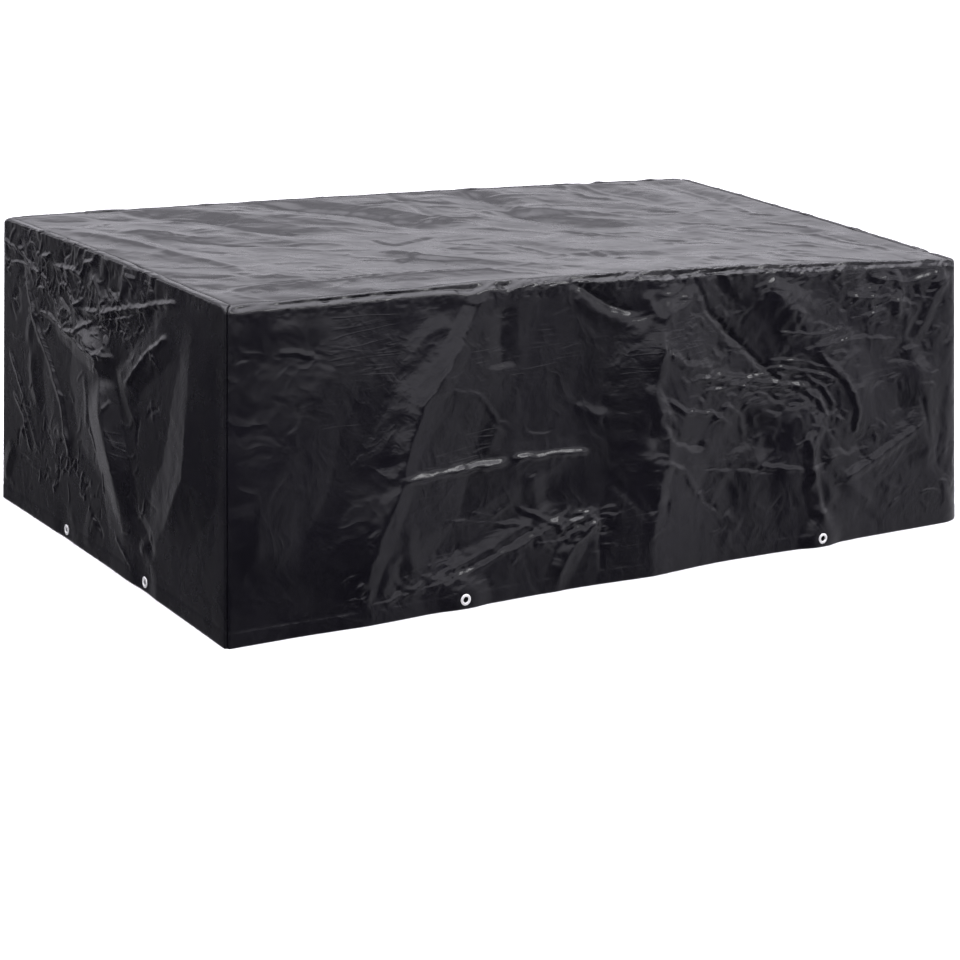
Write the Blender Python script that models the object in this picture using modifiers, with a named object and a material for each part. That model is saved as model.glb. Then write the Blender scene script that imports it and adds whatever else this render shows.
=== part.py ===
"""Fitted cover for patio furniture: a lid panel, four walls, four hem strips and eight eyelets.

Metres, +Z up. The origin is on the floor under the middle of the cover. The long front wall
faces -Y. Each side is measured from its left end, seen from outside, to its right end.
A place on a side is a station and a level:
    station  -1 to 0 half of the left corner, 0 to 1 the straight run, 1 to 2 half of the
             right corner
    level    -1 to 0 the hem strip, 0 to 1 the wall, 1 to 2 the rolled top edge, 2 to 3 the
             flat run up to the lid's seam
"""

import math
from collections import namedtuple

import bmesh
import bpy
from mathutils import Matrix, Vector

# Driving dimensions
LENGTH = 2.30
WIDTH = 1.41
HEIGHT = 0.80
CLOTH = 0.002
SEAM_GAP = 0.001
HEM_HEIGHT = 0.045
EDGE_ROLL = 0.025
EDGE_FLAT = 0.010
SEAM_CORNER_RADIUS = 0.0012

# The cloth's folds
CORNER_FADE = 0.075
TOP_FADE = 0.070
LID_FADE = 0.090
STRAIGHT_BELOW = 0.070
CREST_ROUND = 0.12
FOLD_TAPER = 0.2
LID_SAG = 0.010
CROWN_FROM = -0.3

# Eyelets
EYELET_OUTER = 0.015
EYELET_HOLE = 0.0075
EYELET_BARREL = 0.0085
EYELET_FLANGE = 0.0008
EYELET_CLEAR = 0.0003
EYELET_ABOVE_FLOOR = 0.024
EYELET_FLAT_RADIUS = 0.050
EYELET_FLAT_FADE = 0.120
EYELET_EDGE = 0.028
EYELET_COLUMN_CLEAR = 0.01
HOLE_RADIUS = 0.0089
HOLE_SIDES = 24
HOLE_CUT_DEPTH = 0.02
RING_STEPS = 16
RING_MERGE = 0.00005

# How far each corner stands outside the plain box, at the lid and at the floor
Corner = namedtuple("Corner", "side_x side_y lid_x lid_y lid_z floor_x floor_y lid_round floor_round")
CORNERS = {
    "near_left": Corner(-1, -1, -0.002, -0.023, 0.016, 0.024, 0.025, 0.018, 0.022),
    "near_right": Corner(1, -1, -0.042, -0.025, -0.031, 0.074, -0.012, 0.035, 0.110),
    "far_right": Corner(1, 1, 0.014, 0.019, 0.009, 0.046, 0.042, 0.025, 0.050),
    "far_left": Corner(-1, 1, 0.029, 0.038, 0.014, 0.061, 0.036, 0.022, 0.030),
}

# The four sides, with the crown of each top edge and the number of cloth cells on each
Side = namedtuple("Side", "left right crown columns rows hem_columns")
SIDES = {
    "front": Side("near_left", "near_right", 0.021, 40, 13, 22),
    "right": Side("near_right", "far_right", 0.004, 14, 8, 14),
    "back": Side("far_right", "far_left", 0.006, 20, 8, 20),
    "left": Side("far_left", "near_left", 0.006, 24, 12, 14),
}
CORNER_COLUMNS = 3
ROLL_ROWS = 3
LID_COLUMNS = 38
LID_ROWS = 22

# Eyelets of each side, as distances from the side's left end along the hem
EYELETS = {
    "front": (("left", 0.66), ("right", 1.82)),
    "right": (("front", 0.40), ("rear", 1.02)),
    "back": (("right", 0.60), ("left", 1.78)),
    "left": (("rear", 0.47), ("front", 0.985)),
}

# A fold runs from 0 by way of 1 to 2, in metres along the side and above the floor.
# On the lid the two are metres from the left end and from the front edge. The width is half
# of its foot, and the rise is outward, in metres.
Fold = namedtuple("Fold", "along_0 up_0 along_1 up_1 along_2 up_2 width rise")
FOLDS = {
    "front": (
        Fold(0.72, 0.90, 0.53, 0.50, 0.36, -0.20, 0.19, 0.020),
        Fold(0.45, 0.78, 0.24, 0.50, 0.02, 0.16, 0.12, 0.007),
        Fold(1.02, 0.90, 0.99, 0.45, 0.98, -0.20, 0.19, -0.018),
        Fold(1.28, 0.90, 1.25, 0.45, 1.25, -0.20, 0.16, 0.022),
        Fold(1.33, 0.90, 1.48, 0.61, 1.84, 0.40, 0.10, -0.022),
        Fold(1.52, 0.46, 1.48, 0.20, 1.46, -0.20, 0.20, -0.009),
        Fold(1.70, 0.52, 1.80, 0.15, 1.86, -0.20, 0.15, 0.020),
        Fold(2.20, 0.34, 2.04, 0.24, 1.86, 0.15, 0.08, 0.009),
        Fold(0.44, 0.36, 0.78, 0.36, 1.06, 0.36, 0.06, 0.008),
        Fold(1.30, 0.29, 1.52, 0.26, 1.80, 0.21, 0.06, 0.007),
        Fold(0.24, 0.01, 0.72, 0.10, 1.12, 0.20, 0.07, 0.014),
        Fold(0.48, 0.14, 0.75, 0.20, 1.00, 0.29, 0.07, -0.009),
        Fold(0.93, 0.84, 1.07, 0.75, 1.20, 0.70, 0.07, -0.011),
        Fold(1.56, 0.80, 1.68, 0.72, 1.80, 0.64, 0.08, 0.010),
        Fold(1.74, 0.60, 1.88, 0.48, 1.93, 0.26, 0.09, 0.010),
        Fold(2.13, 0.52, 2.18, 0.34, 2.22, 0.16, 0.08, 0.009),
        Fold(0.44, 0.50, 0.60, 0.58, 0.84, 0.44, 0.08, 0.008),
        Fold(2.16, 0.16, 2.24, 0.02, 2.30, -0.20, 0.12, -0.014),
    ),
    "left": (
        Fold(1.27, 0.90, 1.26, 0.45, 1.25, 0.06, 0.05, 0.010),
        Fold(1.26, 0.80, 1.12, 0.38, 0.90, -0.06, 0.09, -0.011),
        Fold(0.17, 0.70, 0.40, 0.37, 0.66, 0.16, 0.10, 0.011),
        Fold(0.70, 0.50, 0.82, 0.26, 0.92, -0.10, 0.10, 0.011),
        Fold(0.38, 0.63, 0.57, 0.57, 0.84, 0.57, 0.06, 0.008),
        Fold(0.58, 0.66, 0.86, 0.71, 1.20, 0.79, 0.05, 0.006),
        Fold(0.86, 0.49, 0.97, 0.59, 1.15, 0.71, 0.06, 0.008),
        Fold(0.40, 0.40, 0.50, 0.20, 0.56, -0.20, 0.16, -0.010),
        Fold(0.03, 0.34, 0.20, 0.28, 0.30, 0.16, 0.06, 0.006),
    ),
    "right": (
        Fold(0.34, 0.90, 0.38, 0.50, 0.44, -0.20, 0.22, 0.009),
        Fold(0.70, 0.90, 0.74, 0.45, 0.72, -0.20, 0.22, -0.010),
        Fold(1.12, 0.86, 1.02, 0.45, 1.06, -0.20, 0.20, 0.011),
        Fold(0.24, 0.36, 0.62, 0.35, 1.10, 0.36, 0.08, 0.006),
    ),
    "back": (
        Fold(0.40, 0.90, 0.46, 0.45, 0.36, -0.20, 0.24, 0.014),
        Fold(0.86, 0.84, 0.78, 0.45, 0.84, -0.20, 0.22, -0.012),
        Fold(1.24, 0.90, 1.20, 0.45, 1.28, -0.20, 0.24, 0.014),
        Fold(1.90, 0.90, 1.98, 0.50, 1.86, -0.20, 0.24, 0.012),
        Fold(0.40, 0.36, 1.15, 0.35, 1.95, 0.37, 0.08, 0.006),
    ),
    "lid": (
        Fold(0.34, 1.50, 0.49, 1.11, 0.68, 0.76, 0.11, -0.013),
        Fold(0.60, 1.50, 0.86, 1.23, 1.12, 0.79, 0.11, -0.014),
        Fold(1.35, 1.50, 1.33, 1.02, 1.68, 0.64, 0.11, -0.012),
        Fold(1.81, 1.48, 1.84, 1.18, 1.92, 0.98, 0.09, -0.007),
        Fold(2.11, 1.48, 2.09, 1.12, 2.04, 0.82, 0.09, -0.007),
        Fold(0.64, 0.56, 0.77, 0.39, 0.92, 0.20, 0.08, 0.006),
        Fold(1.08, 0.60, 1.12, 0.40, 1.30, 0.20, 0.09, -0.007),
        Fold(0.16, 0.94, 0.34, 0.80, 0.60, 0.68, 0.08, -0.005),
        Fold(2.05, 0.50, 2.06, 0.30, 2.16, 0.10, 0.08, -0.005),
        Fold(0.03, 1.16, 0.12, 0.82, 0.22, 0.44, 0.07, 0.006),
        Fold(0.02, 0.16, 0.45, 0.15, 0.98, 0.14, 0.06, 0.005),
    ),
}

CLOTH_COLOUR = (0.017, 0.017, 0.019, 1.0)
CLOTH_ROUGHNESS = 0.42
METAL_COLOUR = (0.62, 0.61, 0.59, 1.0)
METAL_ROUGHNESS = 0.30


def clear_scene():
    for obj in list(bpy.data.objects):
        bpy.data.objects.remove(obj, do_unlink=True)


def make_collection(name):
    collection = bpy.data.collections.new(name)
    bpy.context.scene.collection.children.link(collection)
    return collection


def make_material(name, colour, roughness, metallic):
    material = bpy.data.materials.new(name)
    material.use_nodes = True
    shader = material.node_tree.nodes["Principled BSDF"]
    shader.inputs["Base Color"].default_value = colour
    shader.inputs["Roughness"].default_value = roughness
    shader.inputs["Metallic"].default_value = metallic
    return material


def smooth(low, high, value):
    """0 at low, 1 at high, with no corner at either."""
    t = min(1.0, max(0.0, (value - low) / (high - low)))
    return t * t * (3.0 - 2.0 * t)


# ---- the cover's plain form -----------------------------------------------------------


def corner_state(name, level):
    """Where a corner's sharp point stands at a level, and how round the corner is there."""
    corner = CORNERS[name]
    lid_height = HEIGHT + corner.lid_z
    wall_top = lid_height - EDGE_ROLL
    inset = 0.0
    if level <= 0.0:
        z = HEM_HEIGHT * (level + 1.0)
    elif level <= 1.0:
        z = HEM_HEIGHT + (wall_top - HEM_HEIGHT) * level
    elif level <= 2.0:
        turn = (level - 1.0) * math.pi / 2.0
        z = wall_top + EDGE_ROLL * math.sin(turn)
        inset = EDGE_ROLL * (1.0 - math.cos(turn))
    else:
        z = lid_height
        inset = EDGE_ROLL + EDGE_FLAT * (level - 2.0)
    rise = min(1.0, z / lid_height)
    out_x = corner.floor_x + (corner.lid_x - corner.floor_x) * rise - inset
    out_y = corner.floor_y + (corner.lid_y - corner.floor_y) * rise - inset
    point = Vector((corner.side_x * (LENGTH / 2.0 + out_x), corner.side_y * (WIDTH / 2.0 + out_y), z))
    radius = corner.floor_round + (corner.lid_round - corner.floor_round) * rise
    sharpen = inset / (EDGE_ROLL + EDGE_FLAT)
    return point, radius + (SEAM_CORNER_RADIUS - radius) * sharpen


def outward(start, end):
    """The level direction that looks out of a side which runs from start to end."""
    run = (end - start).to_2d().normalized()
    return Vector((run.y, -run.x, 0.0))


def side_line(side, level):
    left, left_radius = corner_state(SIDES[side].left, level)
    right, right_radius = corner_state(SIDES[side].right, level)
    return left, left_radius, right, right_radius


def plain_point(side, station, level):
    """A point of the side without its folds, the way out of it, and its distance along."""
    left, left_radius, right, right_radius = side_line(side, level)
    run = right - left
    length = run.to_2d().length
    way = run / length
    out = outward(left, right)
    if station < 0.0:
        sharp, radius, inward, reach = left, left_radius, way, station + 1.0
    elif station > 1.0:
        sharp, radius, inward, reach = right, right_radius, -way, 2.0 - station
    else:
        distance = left_radius + station * (length - left_radius - right_radius)
        crown = SIDES[side].crown * math.sin(math.pi * distance / length) * smooth(CROWN_FROM, 1.0, level)
        return left + way * distance + Vector((0.0, 0.0, crown)), out, distance
    half_gap = SEAM_GAP / 2.0 / radius
    angle = half_gap + reach * (math.pi / 4.0 - half_gap)
    lean = math.pi / 4.0 - angle
    point = sharp + inward * (radius * (1.0 - math.sin(lean))) - out * (radius * (1.0 - math.cos(lean)))
    direction = out * math.cos(lean) - inward.to_2d().normalized().to_3d() * math.sin(lean)
    distance = radius * reach
    return point, direction, distance if station < 0.0 else length - distance


def fold_relief(folds, along, up):
    """The folds' height at a place: each is a tent with a softened crest and tapered ends."""
    place = Vector((along, up))
    relief = 0.0
    for fold in folds:
        route = (
            Vector((fold.along_0, fold.up_0)),
            Vector((fold.along_1, fold.up_1)),
            Vector((fold.along_2, fold.up_2)),
        )
        nearest, travelled = fold.width, 0.0
        for index in (0, 1):
            step = route[index + 1] - route[index]
            t = min(1.0, max(0.0, (place - route[index]).dot(step) / step.length_squared))
            distance = (route[index] + step * t - place).length
            if distance < nearest:
                nearest, travelled = distance, (index + t) / 2.0
        crest = math.hypot(nearest / fold.width, CREST_ROUND)
        section = max(0.0, 1.0 - crest) / (1.0 - CREST_ROUND)
        ends = smooth(0.0, FOLD_TAPER, travelled) * smooth(1.0, 1.0 - FOLD_TAPER, travelled)
        relief += fold.rise * section * ends
    return relief


def folded_point(side, station, level):
    """A point of the side with its folds, which die out towards the corners and the lid."""
    point, out, distance = plain_point(side, station, level)
    left, left_radius, right, right_radius = side_line(side, level)
    length = (right - left).to_2d().length
    wall_top = HEIGHT - EDGE_ROLL
    near_corner = min(distance - left_radius, length - right_radius - distance)
    fade = smooth(0.0, CORNER_FADE, near_corner) * smooth(wall_top, wall_top - TOP_FADE, point.z)
    relief = fold_relief(FOLDS[side], distance, max(point.z, STRAIGHT_BELOW))
    return point + out * relief * fade, out


def station_at(side, distance, level):
    """The station on the straight run at a distance from the side's left end."""
    left, left_radius, right, right_radius = side_line(side, level)
    length = (right - left).to_2d().length
    return (distance - left_radius) / (length - left_radius - right_radius)


def eyelet_frame(side, distance):
    """The eyelet's centre on the outer face of the hem, the way out and the way up."""
    level = EYELET_ABOVE_FLOOR / HEM_HEIGHT - 1.0
    station = station_at(side, distance, level)
    centre, out = folded_point(side, station, level)
    foot = plain_point(side, station, -1.0)[0]
    head = plain_point(side, station, 0.0)[0]
    up = (head - foot).normalized()
    across = up.cross(out).normalized()
    return centre, across.cross(up).normalized(), up


def wall_point(side, station, level):
    """A point of the cloth: folded, and flat where an eyelet is set."""
    point, out = folded_point(side, station, level)
    for _, distance in EYELETS[side]:
        centre, normal, _ = eyelet_frame(side, distance)
        away = (point - centre).length
        if away < EYELET_FLAT_FADE:
            weight = smooth(EYELET_FLAT_FADE, EYELET_FLAT_RADIUS, away)
            offset = (centre - point).dot(normal) / out.dot(normal)
            point = point + out * offset * weight
    return point


def lid_point(across, back):
    """A point of the lid, from 0 to 1 to the right and from 0 to 1 to the back."""
    seam = 3.0 + SEAM_GAP / EDGE_FLAT
    near_left, near_right, far_right, far_left = (corner_state(name, seam)[0] for name in CORNERS)
    near = near_left.lerp(near_right, across)
    far = far_left.lerp(far_right, across)
    point = near.lerp(far, back)
    lengthwise = math.sin(math.pi * across)
    crosswise = math.sin(math.pi * back)
    crown = lengthwise * ((1.0 - back) * SIDES["front"].crown + back * SIDES["back"].crown)
    crown += crosswise * ((1.0 - across) * SIDES["left"].crown + across * SIDES["right"].crown)
    length = (near_right - near_left).length
    width = (far_left - near_left).length
    from_left = across * length
    from_front = back * width
    from_edge = min(from_left, length - from_left, from_front, width - from_front)
    relief = fold_relief(FOLDS["lid"], from_left, from_front) * smooth(0.0, LID_FADE, from_edge)
    point.z += crown + relief - LID_SAG * lengthwise * crosswise
    return point


# ---- cloth pieces ----------------------------------------------------------------------


def even(count, low=0.0, high=1.0):
    """Evenly spaced values from low to high, both included."""
    return [low + (high - low) * index / count for index in range(count + 1)]


def side_stations(straight):
    """Stations of a side: its two half corners and the given ones between them."""
    left = even(CORNER_COLUMNS, -1.0, 0.0)[:-1]
    right = even(CORNER_COLUMNS, 1.0, 2.0)[1:]
    return left + straight + right


def make_sheet(name, columns, rows, place, parts):
    """A grid whose points are placed by a function, thickened inward to the cloth's thickness."""
    bm = bmesh.new()
    bmesh.ops.create_grid(bm, x_segments=len(columns) - 1, y_segments=len(rows) - 1, size=0.5)
    for vertex in bm.verts:
        column = columns[round((vertex.co.x + 0.5) * (len(columns) - 1))]
        row = rows[round((vertex.co.y + 0.5) * (len(rows) - 1))]
        vertex.co = place(column, row)
    mesh = bpy.data.meshes.new(name)
    bm.to_mesh(mesh)
    bm.free()
    mesh.shade_smooth()
    mesh.materials.append(make_material(name + "_cloth", CLOTH_COLOUR, CLOTH_ROUGHNESS, 0.0))
    sheet = bpy.data.objects.new(name, mesh)
    parts.objects.link(sheet)
    thickness = sheet.modifiers.new("cloth", "SOLIDIFY")
    thickness.thickness = CLOTH
    thickness.offset = -1.0
    return sheet


def make_lid(parts):
    make_sheet("top_panel", even(LID_COLUMNS), even(LID_ROWS), lid_point, parts)


def make_wall(side, parts):
    """A wall from the hem's seam up over the rolled edge to the lid's seam."""
    above_seam = SEAM_GAP / (HEIGHT - EDGE_ROLL - HEM_HEIGHT)
    levels = even(SIDES[side].rows, above_seam, 1.0) + even(ROLL_ROWS, 1.0, 2.0)[1:] + [3.0]
    columns = side_stations(even(SIDES[side].columns))
    make_sheet(side + "_panel", columns, levels, lambda s, v: wall_point(side, s, v), parts)


def make_hem(side, parts, cutters):
    """The strip along the floor, with a hole for each of its eyelets."""
    straight = set(even(SIDES[side].hem_columns))
    for _, distance in EYELETS[side]:
        low = station_at(side, distance - EYELET_EDGE, -1.0)
        high = station_at(side, distance + EYELET_EDGE, -1.0)
        clear = EYELET_COLUMN_CLEAR
        straight = {value for value in straight if not low - clear < value < high + clear}
        straight.update((low, high))
    columns = side_stations(sorted(straight))
    rows = even(1, -1.0, 0.0)
    hem = make_sheet("hem_" + side, columns, rows, lambda s, v: wall_point(side, s, v), parts)
    for place, distance in EYELETS[side]:
        cutter = make_cutter("hole_" + side + "_" + place, side, distance, cutters)
        cut = hem.modifiers.new(cutter.name, "BOOLEAN")
        cut.operation = "DIFFERENCE"
        cut.solver = "EXACT"
        cut.object = cutter


# ---- eyelets ---------------------------------------------------------------------------


def eyelet_placement(side, distance):
    """The matrix that puts local +Z on the way out, with the cloth's mid-plane at zero."""
    centre, normal, up = eyelet_frame(side, distance)
    across = up.cross(normal)
    turn = Matrix((across, up, normal)).transposed().to_4x4()
    return Matrix.Translation(centre - normal * CLOTH / 2.0) @ turn


def make_cutter(name, side, distance, cutters):
    bm = bmesh.new()
    bmesh.ops.create_cone(
        bm,
        cap_ends=True,
        segments=HOLE_SIDES,
        radius1=HOLE_RADIUS,
        radius2=HOLE_RADIUS,
        depth=HOLE_CUT_DEPTH,
    )
    mesh = bpy.data.meshes.new(name)
    bm.to_mesh(mesh)
    bm.free()
    cutter = bpy.data.objects.new(name, mesh)
    cutter.matrix_world = eyelet_placement(side, distance)
    cutter.hide_render = True
    cutter.display_type = "WIRE"
    cutters.objects.link(cutter)
    return cutter


def make_eyelet(name, side, distance, parts):
    """A pressed eyelet: a barrel through the hem with a flange on each face, turned round +Z."""
    half = CLOTH / 2.0 + EYELET_CLEAR + EYELET_FLANGE
    web = half - EYELET_FLANGE
    section = (
        (EYELET_HOLE, half),
        (EYELET_OUTER, half),
        (EYELET_OUTER, web),
        (EYELET_BARREL, web),
        (EYELET_BARREL, -web),
        (EYELET_OUTER, -web),
        (EYELET_OUTER, -half),
        (EYELET_HOLE, -half),
    )
    points = [(radius, 0.0, z) for radius, z in section]
    edges = [(index, (index + 1) % len(points)) for index in range(len(points))]
    mesh = bpy.data.meshes.new(name)
    mesh.from_pydata(points, edges, [])
    mesh.materials.append(make_material(name + "_metal", METAL_COLOUR, METAL_ROUGHNESS, 1.0))
    eyelet = bpy.data.objects.new(name, mesh)
    eyelet.matrix_world = eyelet_placement(side, distance)
    parts.objects.link(eyelet)
    turn = eyelet.modifiers.new("turned", "SCREW")
    turn.axis = "Z"
    turn.steps = RING_STEPS
    turn.render_steps = RING_STEPS
    turn.use_merge_vertices = True
    turn.merge_threshold = RING_MERGE
    turn.use_smooth_shade = False


def main():
    clear_scene()
    parts = make_collection("patio_furniture_cover")
    cutters = make_collection("eyelet_hole_cutters")
    make_lid(parts)
    for side in SIDES:
        make_wall(side, parts)
        make_hem(side, parts, cutters)
        for place, distance in EYELETS[side]:
            make_eyelet("eyelet_" + side + "_" + place, side, distance, parts)


main()
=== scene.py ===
import math

import bpy
import numpy as np
from mathutils import Matrix, Vector


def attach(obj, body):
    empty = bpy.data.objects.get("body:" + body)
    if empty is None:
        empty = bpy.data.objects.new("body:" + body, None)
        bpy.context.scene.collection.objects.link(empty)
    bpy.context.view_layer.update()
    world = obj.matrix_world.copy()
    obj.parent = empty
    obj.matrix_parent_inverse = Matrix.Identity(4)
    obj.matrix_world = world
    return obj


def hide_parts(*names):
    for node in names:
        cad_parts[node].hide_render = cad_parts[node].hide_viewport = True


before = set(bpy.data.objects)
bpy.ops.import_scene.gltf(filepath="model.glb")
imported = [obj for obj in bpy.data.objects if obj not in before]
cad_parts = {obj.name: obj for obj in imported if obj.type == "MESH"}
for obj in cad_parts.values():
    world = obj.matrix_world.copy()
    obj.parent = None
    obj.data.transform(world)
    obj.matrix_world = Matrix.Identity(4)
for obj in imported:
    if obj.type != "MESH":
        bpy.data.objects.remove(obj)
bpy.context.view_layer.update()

# ---- the cover's sizes, in metres ----

LENGTH = 2.30
WIDTH = 1.41
HEIGHT = 0.80
CLOTH = 0.002
SEAM_GAP = 0.001
HEM_HEIGHT = 0.045
EDGE_ROLL = 0.018
EDGE_FLAT = 0.004
SEAM_CORNER_RADIUS = 0.0012
CORNER_FADE = 0.075
CREASE_FADE = 0.030
TOP_FADE = 0.210
LID_FADE = 0.090
STRAIGHT_BELOW = 0.070
LID_SAG = 0.022
GROOVE_DEPTH = 0.0010
GROOVE_WIDTH = 0.0034
CORNER_SEAM_DEPTH = 0.0050
SEAM_SPREAD = 0.030
TUCKS = (0.003, 0.009)
HEM_LAYER = 0.0014
HEM_STEP = 0.0006
HEM_CELL = 0.0042
STITCH_HEIGHT = 0.041
STITCH_WIDTH = 0.0032
STITCH_DEPTH = 0.0009
EYELET_FLAT = (0.022, 0.085)
HOLE_CUT = 0.0112
HOLE_DEPTH = 0.020
TAPE_PITCH = 0.0050
WEAVE_DEPTH = 0.00003
# the place close to the near left corner from which the creases of the front and of the left
# side are measured: this far left of the middle, and this far in front of it
CREASE_ORIGIN = (1.165, 0.683)

FLOOR_REACH = 300.0
FLOOR_BELOW = 0.001

# shares, a level and counts
CREST_ROUND = 0.03
FOLDS_AT_TOP = 0.35
CROWN_FROM = -0.3
ROLL_ROWS = 14
LID_CELLS = (372, 232)
UP = np.array([0.0, 0.0, 1.0])

# the photograph's camera: metres, degrees, and the lens in millimetres
CAMERA_PLACE = (-3.2628, -5.2994, 1.8397)
CAMERA_AIM = (-0.1593, -0.2018, 0.1596)
CAMERA_ROLL = 1.5305
CAMERA_LENS = 83.73

# side_x side_y lid_x lid_y lid_z floor_x floor_y lid_round floor_round
CORNERS = {
    "near_left": (-1, -1, -0.002, -0.023, 0.016, 0.024, 0.025, 0.007, 0.010),
    "near_right": (1, -1, -0.042, -0.025, -0.031, 0.074, -0.012, 0.035, 0.110),
    "far_right": (1, 1, 0.014, 0.019, 0.009, 0.046, 0.042, 0.025, 0.050),
    "far_left": (-1, 1, 0.029, 0.038, 0.014, 0.061, 0.036, 0.008, 0.014),
}
# left and right corner, crown of the top edge, cell width, cell height
SIDES = {
    "front": ("near_left", "near_right", 0.021, 0.0058, 0.0042),
    "right": ("near_right", "far_right", 0.004, 0.0072, 0.0055),
    "back": ("far_right", "far_left", 0.006, 0.0076, 0.0058),
    "left": ("far_left", "near_left", 0.006, 0.0040, 0.0036),
}


def eyelet_place(node):
    """The middle of a CAD eyelet and its axis, pointing out of the cover."""
    points = np.array([vertex.co for vertex in node.data.vertices], float)
    centre = (points.min(0) + points.max(0)) / 2.0
    axis = np.linalg.svd(points - points.mean(0), full_matrices=False)[2][-1]
    outward = centre * np.array([1.0, 1.0, 0.0])
    return centre, axis if axis @ outward > 0.0 else -axis


EYELETS = {name: eyelet_place(node) for name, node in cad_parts.items() if name.startswith("eyelet_")}


def eyelets_of(side):
    """The middle and the axis of each of a side's eyelets."""
    return [place for name, place in EYELETS.items() if name.startswith("eyelet_" + side)]


# how far the bottom edge bows out between the corners, and how much of the folds it loses
HEM_BOW = {"front": (0.004, 0.4), "right": (0.0, 0.0), "back": (0.0, 0.0), "left": (-0.009, 0.85)}
# seed, and the height of the long, middle and short waves of the lid's seam
SEAM_WAVES = {
    "front": (301, 0.0024, 0.0016, 0.0024),
    "right": (331, 0.0005, 0.0002, 0.0001),
    "back": (361, 0.0005, 0.0002, 0.0001),
    "left": (391, 0.0016, 0.0010, 0.0004),
}
# the step under the lid's front edge: place, half of its length, change of its share of the
# roll, and how much lower its ledge lies
SEAM_STEPS = (
    (0.44, 0.24, 0.45, 0.0005), (0.665, 0.035, 0.60, 0.0040), (0.77, 0.022, 0.60, 0.0035),
    (0.88, 0.085, -0.60, 0.0), (1.08, 0.05, 0.60, 0.0010), (1.28, 0.08, 0.75, 0.0055),
    (1.46, 0.12, 0.65, 0.0015), (1.88, 0.28, 0.45, 0.0005),
)

# ---- folds and creases, in centimetres ----

# the front's two long ridges, as (along, up), and the crests of the broad facets on them
LEFT_RIDGE = ((69, 77), (61, 63), (53, 54), (48, 42), (46, 33), (38, 15))
MIDDLE_RIDGE = ((122, 50), (126, 40), (126.5, 33), (124, 25), (123, 7))
LEFT_CREST = ((34, 0), *LEFT_RIDGE[::-1], (72, 96))
MIDDLE_CREST = ((125, 0), *MIDDLE_RIDGE[::-1], (123, 63), (128, 78), (129, 96))
# flat tilted patches: the crest line, the foot line, the slope between them, the way back
FACETS = {
    "front": (
        (LEFT_CREST, [(along + 20, up) for along, up in LEFT_CREST], 0.042, 13),
        (MIDDLE_CREST, [(along + 28, up) for along, up in MIDDLE_CREST], 0.036, 42),
    ),
    "left": (
        (
            ((46, 2), (36, 16), (18, 35), (18, 80)),
            ((55, 2), (44, 9), (41, 16), (39, 27.5), (33, 38), (26.5, 57), (21, 80)),
            0.085, 17,
        ),
        (
            ((55, 10), (57, 20), (63, 34.3), (71, 50), (77, 64)),
            ((57, 10), (67, 20), (86, 32), (93, 46), (88, 64)),
            0.050, 10,
        ),
    ),
}

# A fold is a route of (along, up) points, half of its foot's width, its rise outward, and how
# round its crest is, as a share. Along is from the side's left end, seen from outside. On the
# lid the two are from the left end and from the front edge.
MAIN_FOLDS = {}
MAIN_FOLDS["front"] = (
    (((72, 90), *LEFT_RIDGE, (34, -20)), 19, 1.2, 0.08),
    (((41, 84), (19, 50), (6, 30), (2, 16)), 17, 1.1, 0.08),
    (((102, 90), (99, 45), (98, -20)), 19, -0.7, 0.12),
    (((128, 90), (123, 63), *MIDDLE_RIDGE, (125, -20)), 16, 1.4, 0.06),
    (((133, 90), (140, 69), (149.5, 60.6), (162, 50.4), (184, 40)), 10, -0.9, 0.1),
    (((152, 46), (148, 20), (146, -20)), 20, -0.9, 0.12),
    (((170, 52), (180, 15), (186, -20)), 15, 1.3, 0.1),
    (((220, 34), (204, 24), (186, 15)), 8, 0.8, 0.1),
    (((44, 36), (78, 36), (106, 36)), 5, 0.3, 0.1),
    (((130, 29), (152, 26), (180, 21)), 6, 0.5, 0.15),
    (((24, 1), (60, 7.5), (82, 13.4), (94, 18.4), (112, 20)), 6, 0.35, 0.1),
    (((48, 12), (75, 19), (100, 29)), 7, -0.9, 0.12),
    (((93, 84), (107, 75), (120, 70)), 7, -0.7, 0.1),
    (((153, 78), (165, 70), (177, 61)), 9, 1, 0.1),
    (((174, 60), (188, 48), (193, 26)), 9, 0.9, 0.1),
    (((213, 52), (218, 34), (222, 16)), 8, 0.8, 0.1),
    (((44, 50), (60, 58), (84, 44)), 8, 0.2, 0.1),
)
MAIN_FOLDS["left"] = (
    (((70, 50), (82, 26), (92, -10)), 10, 1.1, 0.08),
    (((38, 63), (57, 57), (84, 57)), 6, 0.8, 0.1),
    (((58, 66), (86, 71), (120, 79)), 5, 0.6, 0.1),
    (((86, 49), (97, 59), (115, 71)), 6, 0.8, 0.1),
)
MAIN_FOLDS["right"] = (
    (((34, 90), (38, 50), (44, -20)), 22, 0.9, 0.12),
    (((70, 90), (74, 45), (72, -20)), 22, -1, 0.12),
    (((112, 86), (102, 45), (106, -20)), 20, 1.1, 0.12),
    (((24, 36), (62, 35), (110, 36)), 8, 0.6, 0.12),
)
MAIN_FOLDS["back"] = (
    (((40, 90), (46, 45), (36, -20)), 24, 1.4, 0.12),
    (((86, 84), (78, 45), (84, -20)), 22, -1.2, 0.12),
    (((124, 90), (120, 45), (128, -20)), 24, 1.4, 0.12),
    (((190, 90), (198, 50), (186, -20)), 24, 1.2, 0.12),
    (((40, 36), (115, 35), (195, 37)), 8, 0.6, 0.12),
)
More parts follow.
